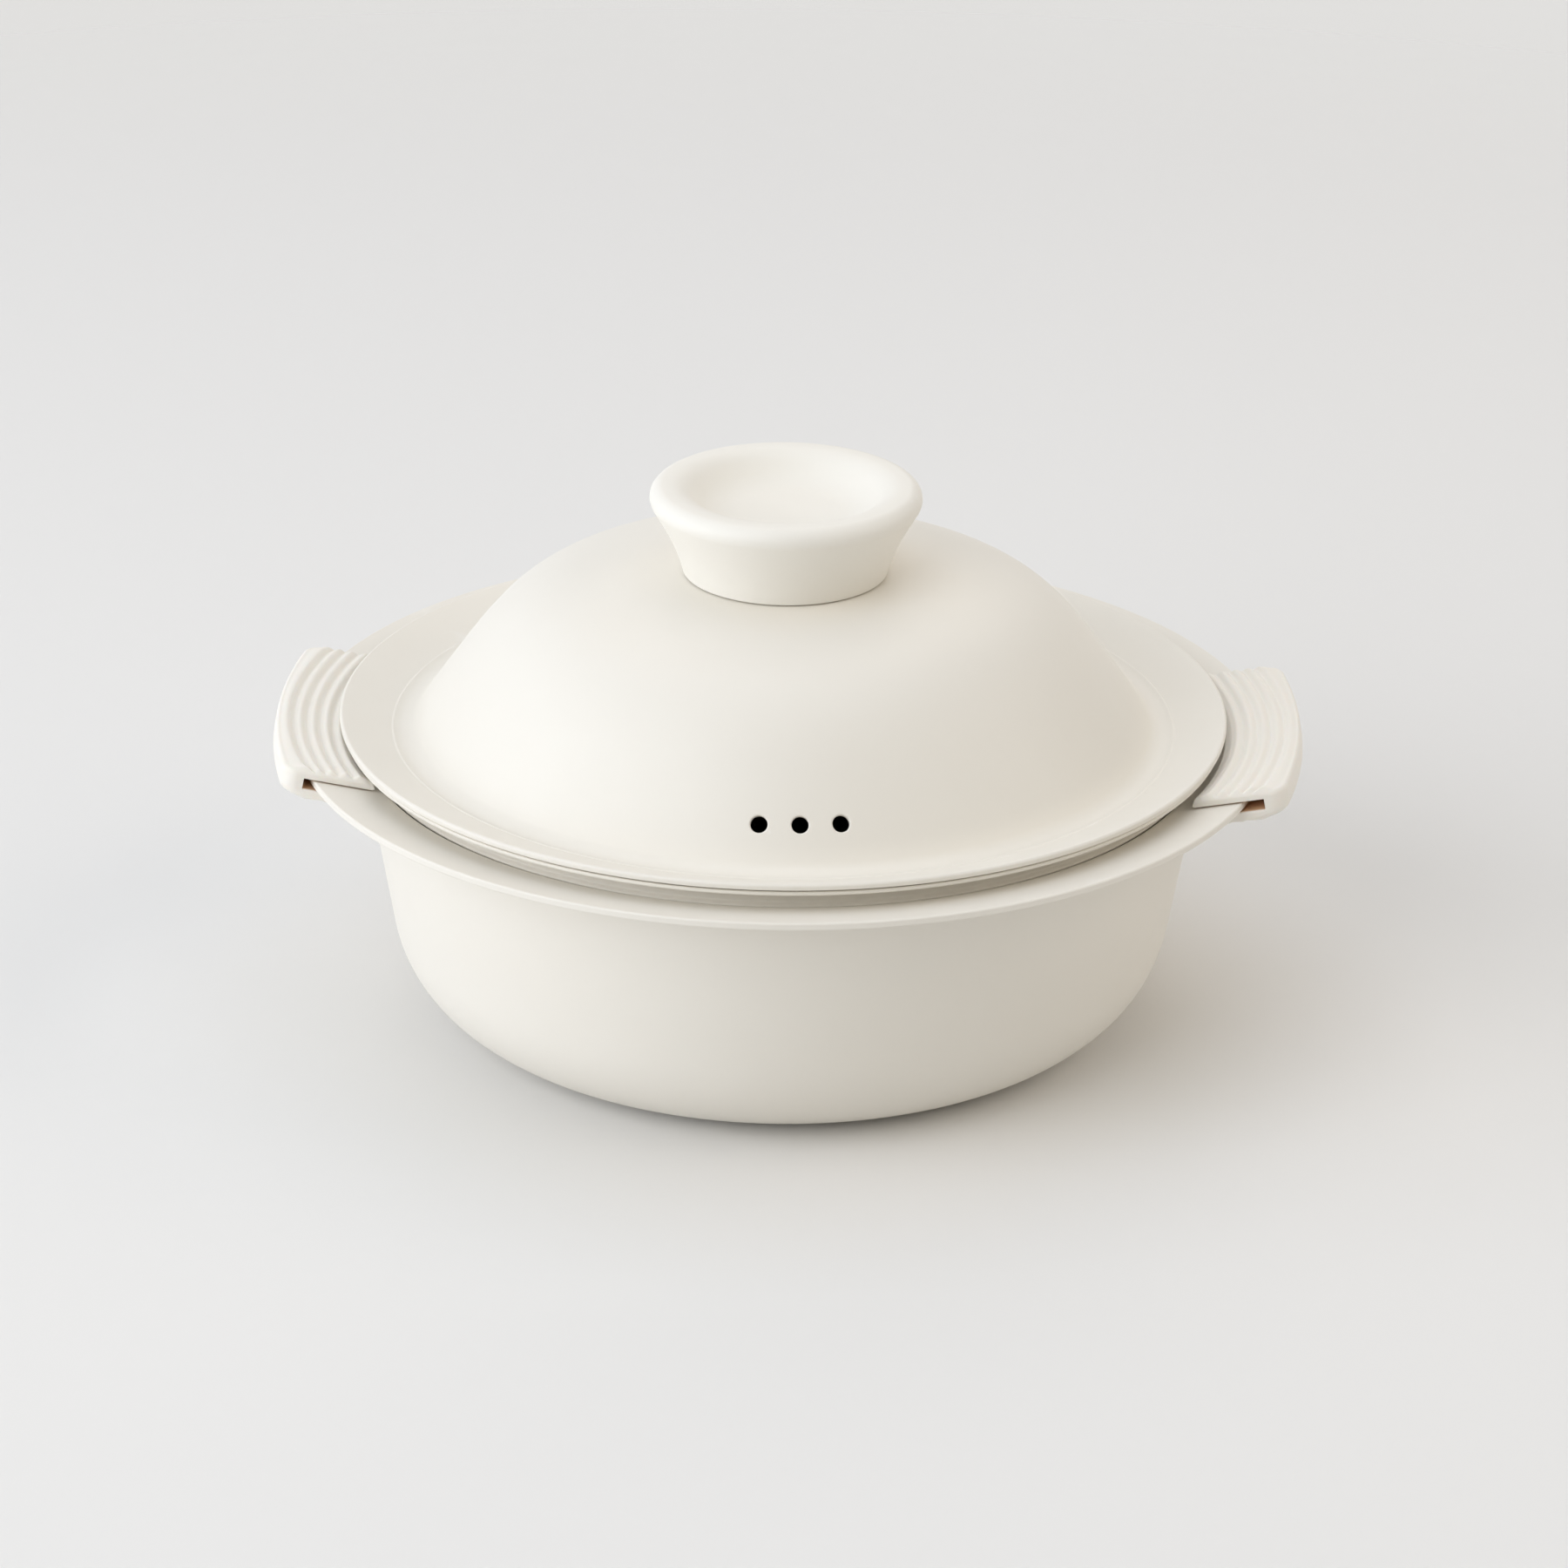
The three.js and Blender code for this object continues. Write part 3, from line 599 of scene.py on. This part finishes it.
# the flare runs from the knee so that it just touches the round of the rim
knee = np.array([knob["foot"] + knob["kneeOut"], knobBase + knob["kneeHeight"]])
toRim = np.array([knob["radius"] - knob["rimRound"], knobTop - knob["rimRound"]]) - knee
flareLean = np.arctan2(toRim[1], toRim[0]) - np.arcsin(knob["rimRound"] / np.linalg.norm(toRim))
rimCorner = knee[0] + (knobTop - knee[1]) / np.tan(flareLean)
lipRadius = knob["radius"] - knob["lipInset"]
dishFloor = knobTop - knob["dishDepth"]
ceiling = dishFloor - knob["wall"]
skirtFoot = knob["foot"] - knob["wall"]
skirtTop = skirtFoot + (ceiling - knobBase) * knob["kneeOut"] / knob["kneeHeight"]
knobLine = evenSteps(roundedLine([
    (0, insertTop + seatGap),
    (fixing["insert"] + seatGap, insertTop + seatGap),
    (fixing["insert"] + seatGap, bossLow),
    (knob["boss"], bossLow, knob["bossRound"]),
    (knob["boss"], ceiling, knob["wall"] / 2),
    (skirtTop, ceiling, knob["wall"]),
    (skirtFoot, knobBase, knob["skirtRound"]),
    (knob["foot"], knobBase, knob["wall"] / 5),
    (*knee, knob["kneeRound"]),
    (rimCorner, knobTop, knob["rimRound"]),
    (lipRadius, knobTop, knob["lipRound"]),
    (lipRadius - knob["dishRun"], dishFloor + knob["dishRise"], knob["dishRound"]),
    (0, dishFloor),
], step=3), limit=2.0)
addPiece("dishedKnob", *joined([turnedPatch(knobLine, knob["columns"])]),
         knobFinish, "lid", "lid_knob", "ivory_knob")


# a plain ring round the screw: its rounded oblong section turned about the axis
def ringPiece(name, outer, low, high, finish, node, slotName):
    inner = fixing["screw"] + seatGap
    corners = [(inner, low), (outer, low), (outer, high), (inner, high)]
    section = roundedLine([(*corner, smallRound) for corner in corners], step=20)
    ring = turnedPatch(evenSteps(section, limit=2.0, closed=True), fixing["columns"], True)
    addPiece(name, *joined([ring]), finish, "lid", node, slotName)


ringPiece("brassInsert", fixing["insert"], insertLow, insertTop,
          insertBrass, "knob_insert", "brass")
ringPiece("sealRing", fixing["seal"], sealLow, sealTop,
          sealSilicone, "knob_seal", "seal_silicone")
ringPiece("flatWasher", fixing["washer"], washerLow, washerTop,
          plainSteel, "knob_washer", "steel")

# the screw is turned, but its drive socket follows a hexagon: r is the flats' distance divided by
# the cosine of the angle to the nearest flat's middle
screwTurns = fullTurn(fixing["columns"])
halfFlat = 30 * deg
hexagon = np.cos(halfFlat) / np.cos((screwTurns + halfFlat) % (2 * halfFlat) - halfFlat)
driveLine = [(0, driveTop), (fixing["drive"], driveTop), (fixing["drive"], headLow)]
screwLine = np.vstack([driveLine, roundedLine([
    (fixing["driveRim"], headLow),
    (fixing["head"], headLow, fixing["headRound"]),
    (fixing["head"], headTop, smallRound),
    (fixing["screw"], headTop),
    (fixing["screw"], screwTop, fixing["tipRound"]),
    (0, screwTop),
], step=12)])
screwGrid = turned(screwLine, screwTurns)
screwGrid[:len(driveLine), :, :2] *= hexagon[:, None]
addPiece("knobScrew", *joined([(screwGrid, gridQuads(*screwGrid.shape[:2]))]),
         plainSteel, "lid", "knob_screw", "steel")

# silicone grips

grip = dict(wall=6.2, halfLength=50, plate=2.6, plateStep=(1.6, 0.6), tongue=2, tongueSetback=5,
            tongueRound=0.9, tongueSlot=0.5, under=3, underReach=15, underRound=0.8, edgeTop=1.3,
            edgeLow=5, slotAbove=0.4, slotBelow=0.6, slotEase=72, slotCorner=0.15,
            slotLowRound=0.5, slotTopRound=0.4, slotShare=(-8.0, 0.2), pitch=4.1, ridge=1.05,
            valley=0.45, rib=0.6, ribRun=2, firstCrest=3, ridgeFade=(48.4, 49.9), innerFall=0.35,
            innerRun=1.4, outerFall=0.6, endRound=1.2, planRound=4.5, planRun=9, slotShadeRun=1.2,
            innerBulge=(0.5, 0.8, 1.0), innerLow=0.4, innerHigh=0.3, leftTurn=180.6 * deg,
            rightTurn=-3.6 * deg, rightPull=3.3, sharp=50)
gripSteps = dict(columns=150, tip=30, tipLength=7, top=190, edge=13, face=5, under=90, slot=40,
                 wall=8, tongue=8)
slopeCos, slopeSin = np.cos(pot["rise"]), np.sin(pot["rise"])
slotRadius = pot["flange"] + grip["slotEase"]
slotAxis = pot["flange"] + seatGap - slotRadius
gripReach = (seatGap + grip["wall"]) / slopeCos
slotTop, slotLow = grip["slotAbove"], -pot["sheet"] - grip["slotBelow"]
plateTop, underLow = slotTop + grip["plate"], slotLow - grip["under"]
tongueEnd = (grip["tongueSetback"] - pot["flangeWidth"]) / slopeCos
ridgeEnd = (tray["rim"] - pot["flange"]) / slopeCos
crestFirst = gripReach - grip["firstCrest"]
crestLast = crestFirst - grip["pitch"] * np.floor((crestFirst - ridgeEnd) / grip["pitch"])
edgeStart = crestFirst + grip["pitch"] / 2


# a quarter round seen along the grip: how far a surface has sunk at a distance past its start
def endSink(y, radius):
    past = np.clip(np.abs(y) - (grip["halfLength"] - radius), 0, radius)
    return radius - np.sqrt(radius ** 2 - past ** 2)


# share of the slot's own circle on the outside: none up to the first crest, all at the outer face
def outerShare(along):
    return smoothStep(along, crestFirst, gripReach)


# the same inside the slot: none far in, all at the slot's wall
def slotShare(along):
    return smoothStep(along[:, 0], grip["slotShare"][0], seatGap - grip["slotShare"][1])


# the upper side along s, as the plate's height and the ridges' height: the ridges are rolls side by
# side, the size of a cosine of s with its sharp valleys eased, and inside the last crest they fall
# a little towards the tongue
def upperLevel(s):
    roll = np.hypot(np.cos((s - crestFirst) * np.pi / grip["pitch"]), grip["valley"])
    wave = (roll - grip["valley"]) / (np.hypot(1, grip["valley"]) - grip["valley"])
    fall = 1 - grip["innerFall"] * smoothStep(crestLast - s, 0, grip["innerRun"])
    wave = np.where(s < crestLast, fall, wave)
    wave = np.where(s > crestFirst, 1 - grip["outerFall"] * (1 - wave), wave)
    before, after = grip["plateStep"]
    step = (grip["plate"] - grip["tongue"]) * smoothStep(s, ridgeEnd - before, ridgeEnd + after)
    return slotTop + grip["tongue"] + step, grip["ridge"] * wave


# the sleeve's section, drawn along the flange (s outward, n square to it), is carried from end to
# end (y); ridges and ribs die away just before the ends; every point runs on a circle about the
# pot's axis, or about the slot's own axis for the slot wall and the outer face
def gripSurface():
    half, tipLength, tipSteps = grip["halfLength"], gripSteps["tipLength"], gripSteps["tip"]
    tipStart = half - tipLength
    rest = np.linspace(-tipStart, tipStart, gripSteps["columns"] - 2 * tipSteps)
    tip = tipStart + tipLength * np.sin(np.linspace(0, np.pi / 2, tipSteps + 1))[1:]
    y = np.concatenate([-tip[::-1], rest, tip])
    fade = 1 - smoothStep(np.abs(y), *grip["ridgeFade"])
    quarter = np.linspace(0, np.pi / 2, gripSteps["edge"] + 1)[1:]

    # a row of s for each point along the section, drawn in at the plan's round corners
    def drawnIn(along):
        pull = smoothStep(along, crestFirst - grip["planRun"], gripReach)[:, None]
        return along[:, None] - endSink(y, grip["planRound"]) * pull

    # upper side from the tongue over the ridges, then the rounded upper edge
    top = np.linspace(tongueEnd + grip["tongueRound"], edgeStart, gripSteps["top"])
    level, ridges = upperLevel(top)
    nTop = level[:, None] + ridges[:, None] * fade - endSink(y, grip["endRound"])
    edgeFoot = plateTop - grip["edgeTop"]
    edge = edgeStart + (gripReach - edgeStart) * np.sin(quarter)
    nEdge = edgeFoot + (nTop[-1] - edgeFoot) * np.cos(quarter)[:, None]

    # outer face, rounded lower edge and ribbed underside
    lowFoot = underLow - grip["rib"] + grip["edgeLow"]
    face = np.full(gripSteps["face"], gripReach)
    nFace = np.linspace(edgeFoot, lowFoot, gripSteps["face"] + 1)[1:, None] + 0 * y
    under = np.linspace(gripReach - grip["edgeLow"], -grip["underReach"], gripSteps["under"])
    ribWave = 0.5 + 0.5 * np.cos((under - crestFirst) * 2 * np.pi / grip["pitch"])
    ribBlend = np.clip((gripReach - grip["edgeLow"] - under) / grip["ribRun"], 0, 1)
    ribDrop = grip["rib"] * (ribBlend * ribWave + (1 - ribBlend))
    nUnder = underLow - ribDrop[:, None] * fade + endSink(y, grip["underRound"])
    low = gripReach - grip["edgeLow"] * (1 - np.cos(quarter))
    nLow = lowFoot + (nUnder[0] - lowFoot) * np.sin(quarter)[:, None]

    # inner end of the lower plate
    bulge = np.array(grip["innerBulge"])
    sInner = (-grip["underReach"] - bulge)[:, None] + 0 * y
    innerEnds = underLow + grip["innerLow"], slotLow - grip["innerHigh"]
    nInner = np.linspace(*innerEnds, len(bulge))[:, None] + 0 * y

    # the slot's lower side, wall and upper side
    slotIn = seatGap - grip["slotCorner"]
    lowEnds = -grip["underReach"] - bulge[1], slotIn
    topEnds = slotIn, tongueEnd + grip["tongueSlot"]
    sSlotLow = np.linspace(*lowEnds, gripSteps["slot"])[:, None] + 0 * y
    nSlotLow = slotLow - endSink(y, grip["slotLowRound"]) + 0 * sSlotLow
    sWall = np.full((gripSteps["wall"], 1), seatGap) + 0 * y
    wallEnds = slotLow + grip["slotCorner"], slotTop - grip["slotCorner"]
    nWall = np.linspace(*wallEnds, gripSteps["wall"])[:, None] + 0 * y
    sSlotTop = np.linspace(*topEnds, gripSteps["slot"])[:, None] + 0 * y
    nSlotTop = slotTop + endSink(y, grip["slotTopRound"]) + 0 * sSlotTop

    # the thin tongue's rounded end
    bend = np.linspace(-np.pi / 2, -3 * np.pi / 2, gripSteps["tongue"] + 2)[1:-1, None]
    sTip = tongueEnd + grip["tongueRound"] + grip["tongueRound"] * np.cos(bend) + 0 * y
    tipMiddle = (nSlotTop[-1] + nTop[0]) / 2
    nTip = tipMiddle + (nTop[0] - nSlotTop[-1]) / 2 * np.sin(bend)

    # each block has s, n, its share of the slot's circle, and whether it lies in the slot
    blocks = [(drawnIn(top), nTop, outerShare(top), 0),
              (drawnIn(edge), nEdge, outerShare(edge), 0),
              (drawnIn(face), nFace, outerShare(face), 0),
              (drawnIn(low), nLow, outerShare(low), 0),
              (drawnIn(under), nUnder, outerShare(under), 0),
              (sInner, nInner, np.zeros(len(bulge)), 0),
              (sSlotLow, nSlotLow, slotShare(sSlotLow), 1),
              (sWall, nWall, np.ones(gripSteps["wall"]), 1),
              (sSlotTop, nSlotTop, slotShare(sSlotTop), 1),
              (sTip, nTip, np.zeros(gripSteps["tongue"]), 0)]
    s = np.vstack([block[0] for block in blocks])
    n = np.vstack([block[1] for block in blocks])
    share = np.concatenate([block[2] for block in blocks])[:, None]
    inSlot = np.concatenate([np.full(len(block[0]), block[3]) for block in blocks])[:, None]

    r = pot["flange"] + s * slopeCos - n * slopeSin
    z = pot["flangeHeight"] + s * slopeSin + n * slopeCos
    ownCircle = np.sqrt(r ** 2 - y ** 2)
    slotCircle = slotAxis + np.sqrt((r - slotAxis) ** 2 - y ** 2)
    x = ownCircle + share * (slotCircle - ownCircle)
    # the slot stays on the flange's slope where its circle leaves the pot's
    z = z + inSlot * (np.hypot(x, y) - r) * np.tan(pot["rise"])
    # painted shade in the slot: full within it, fading out near each open end of the sleeve
    inside = inSlot * smoothStep(half - np.abs(y), 0, grip["slotShadeRun"])
    return np.stack([x, y + 0 * x, z], -1), inside


# the sleeve's quads, with one face over each end
gripGrid, gripSlotShade = gripSurface()
gripRows, gripColumns = gripGrid.shape[:2]
gripFaces = gridQuads(gripRows, gripColumns, True, False).reshape(-1, 4).tolist()
firstEnd = np.arange(gripRows) * gripColumns
gripFaces += [firstEnd.tolist(), (firstEnd + gripColumns - 1)[::-1].tolist()]


# the sleeve is pulled off along the slope, then turned about the pot's axis
def placedGrip(name, turn, pull, body, node):
    points = gripGrid.reshape(-1, 3) + pull * np.array([slopeCos, 0, slopeSin])
    spin = np.array([[np.cos(turn), -np.sin(turn), 0], [np.sin(turn), np.cos(turn), 0], [0, 0, 1]])
    addPiece(name, points @ spin.T, gripFaces, gripSilicone, body, node, "ivory_silicone",
             grip["sharp"], gripSlotShade.ravel())


placedGrip("leftSleeve", grip["leftTurn"], 0, "grip_left", "left_grip")
placedGrip("rightSleeve", grip["rightTurn"], grip["rightPull"], "grip_right", "right_grip")

# floor and backdrop, in metres: one sheet, flat, then a quarter round, then upright

stage = dict(front=-4.0, bend=2.2, round=1.2, top=4.0, half=6.0, floorSteps=23, bendRows=32,
             wallSteps=6, columns=25, colour=tint(237, 236, 234), rough=0.9, specular=0.1,
             fade=(0.8, 1.35), haze=tint(226, 225, 223))
arc = np.linspace(0, np.pi / 2, stage["bendRows"])
floorY = np.linspace(stage["front"], stage["bend"], stage["floorSteps"] + 1)[:-1]
wallZ = np.linspace(stage["round"], stage["top"], stage["wallSteps"] + 1)[1:]
sweepX = np.linspace(-stage["half"], stage["half"], stage["columns"])
sweepY = np.concatenate([floorY, stage["bend"] + stage["round"] * np.sin(arc),
                         np.full(stage["wallSteps"], stage["bend"] + stage["round"])])
sweepZ = np.concatenate([np.zeros(stage["floorSteps"]), stage["round"] * (1 - np.cos(arc)), wallZ])
sheetGrid = np.stack(np.broadcast_arrays(sweepX, sweepY[:, None], sweepZ[:, None]), -1)
sheetQuads = gridQuads(len(sweepY), stage["columns"], False, False)
sheetMesh = bpy.data.meshes.new("studioSheet")
sheetMesh.from_pydata(sheetGrid.reshape(-1, 3).tolist(), [], sheetQuads.reshape(-1, 4).tolist())
sheetMesh.shade_smooth()


# 1 for rays that show the surroundings (from the camera, or off gloss, or through glass), else 0
def seenDirectly(tree):
    path = addNode(tree, "LightPath").outputs
    seen = path["Is Camera Ray"]
    for ray in ("Is Glossy Ray", "Is Transmission Ray"):
        seen = addNode(tree, "Math", {0: seen, 1: path[ray]}, operation="MAXIMUM").outputs["Value"]
    return seen


# one shader where the factor is 0, the other where it is 1, led to the output node
def showMixed(tree, factor, first, second, outputName):
    mix = addNode(tree, "MixShader", {"Fac": factor, 1: first, 2: second})
    feed(tree, tree.nodes[outputName].inputs["Surface"], mix.outputs["Shader"])


# paper near the object; further out the sheet gives way to the haze behind it, whose edge is soft
sheetPaper = bpy.data.materials.new("sheetPaper")
sheetPaper.use_nodes = True
sheetTree = sheetPaper.node_tree
paper = sheetTree.nodes["Principled BSDF"]
paper.inputs["Base Color"].default_value = stage["colour"]
paper.inputs["Roughness"].default_value = stage["rough"]
paper.inputs["Specular IOR Level"].default_value = stage["specular"]
sheetPlace = addNode(sheetTree, "TexCoord").outputs["Object"]
farOff = addNode(sheetTree, "VectorMath", {0: sheetPlace}, operation="LENGTH")
softEdge = addNode(sheetTree, "MapRange", {
    "Value": farOff.outputs["Value"], "From Min": stage["fade"][0], "From Max": stage["fade"][1],
}, interpolation_type="SMOOTHSTEP")
gone = addNode(sheetTree, "Math", {
    0: softEdge.outputs["Result"], 1: seenDirectly(sheetTree)}, operation="MULTIPLY")
clear = addNode(sheetTree, "BsdfTransparent")
showMixed(sheetTree, gone.outputs["Value"], paper.outputs["BSDF"], clear.outputs["BSDF"],
          "Material Output")
sheetMesh.materials.append(sheetPaper)
studioSheet = bpy.data.objects.new("studioSheet", sheetMesh)
bpy.context.collection.objects.link(studioSheet)
print("stage made")

# light: soft panels all round, strongest from the left and above, as in a white-walled studio

lights = dict(
    leftFront=dict(place=(-1.9, -2.1, 2.0), size=(2.4, 2.4), power=40.5,
                   colour=(0.957, 0.975, 1.0)),
    leftBack=dict(place=(-2.0, 1.3, 2.2), size=(2.4, 2.4), power=6.9, colour=(0.85, 0.93, 1.0)),
    leftLow=dict(place=(-2.6, -0.4, 0.9), size=(2.0, 2.0), power=27.3, colour=(0.877, 0.919, 1.0)),
    leftLower=dict(place=(-2.6, -0.4, 0.45), size=(1.6, 0.8), power=9.2, colour=(0.8, 0.87, 1.0)),
    leftFrontLow=dict(place=(-1.9, -2.0, 0.8), size=(2.0, 1.5), power=8.9,
                      colour=(1.0, 0.989, 0.947)),
    top=dict(place=(0, 0, 3.0), size=(3.0, 3.0), power=34.6, colour=(0.897, 0.938, 1.0)),
    rightFront=dict(place=(2.1, -2.1, 2.0), size=(2.4, 2.4), power=12.5, colour=(1.0, 0.93, 0.8)),
    right=dict(place=(2.6, 0, 1.6), size=(2.4, 2.4), power=28.5, colour=(1.0, 0.927, 0.842)),
    back=dict(place=(0, 2.3, 2.4), size=(2.4, 2.4), power=16.2, colour=(1.0, 0.926, 0.862)),
)
lightAim = Vector((0, 0, 0.08))
room = dict(colour=(1.0, 0.99, 0.97, 1.0), strength=0.035)

for lightName, look in lights.items():
    lamp = bpy.data.lights.new(lightName, "AREA")
    lamp.shape = "RECTANGLE"
    lamp.size, lamp.size_y = look["size"]
    lamp.energy = look["power"]
    lamp.color = look["colour"]
    holder = bpy.data.objects.new(lightName, lamp)
    bpy.context.collection.objects.link(holder)
    holder.location = look["place"]
    holder.rotation_euler = (lightAim - Vector(look["place"])).to_track_quat("-Z", "Y").to_euler()

# the room's faint light, and the pale haze that is seen behind the object
world = bpy.data.worlds.new("room")
world.use_nodes = True
roomTree = world.node_tree
roomLight = roomTree.nodes["Background"]
roomLight.inputs["Color"].default_value = room["colour"]
roomLight.inputs["Strength"].default_value = room["strength"]
haze = addNode(roomTree, "Background", {"Color": stage["haze"]})
showMixed(roomTree, seenDirectly(roomTree), roomLight.outputs["Background"],
          haze.outputs["Background"], "World Output")
bpy.context.scene.world = world
bpy.context.scene.view_settings.view_transform = "Standard"

# camera, matched to the photograph; lengths in metres, lens and sensor in millimetres

view = dict(aim=(0.0005, 0.0, 0.07183), distance=1.8, elevation=23.05 * deg, roll=0.75 * deg,
            lens=133.08, sensor=36, farEnd=50)
camera = bpy.data.cameras.new("matchCamera")
camera.sensor_width = view["sensor"]
camera.lens = view["lens"]
camera.clip_end = view["farEnd"]
cameraHolder = bpy.data.objects.new("matchCamera", camera)
bpy.context.collection.objects.link(cameraHolder)
back = np.array([0, -np.cos(view["elevation"]), np.sin(view["elevation"])]) * view["distance"]
pose = Matrix.Rotation(90 * deg - view["elevation"], 4, "X") @ Matrix.Rotation(view["roll"], 4, "Z")
cameraHolder.matrix_world = Matrix.Translation(Vector(view["aim"]) + Vector(back)) @ pose
bpy.context.scene.camera = cameraHolder
print("camera and lights set")
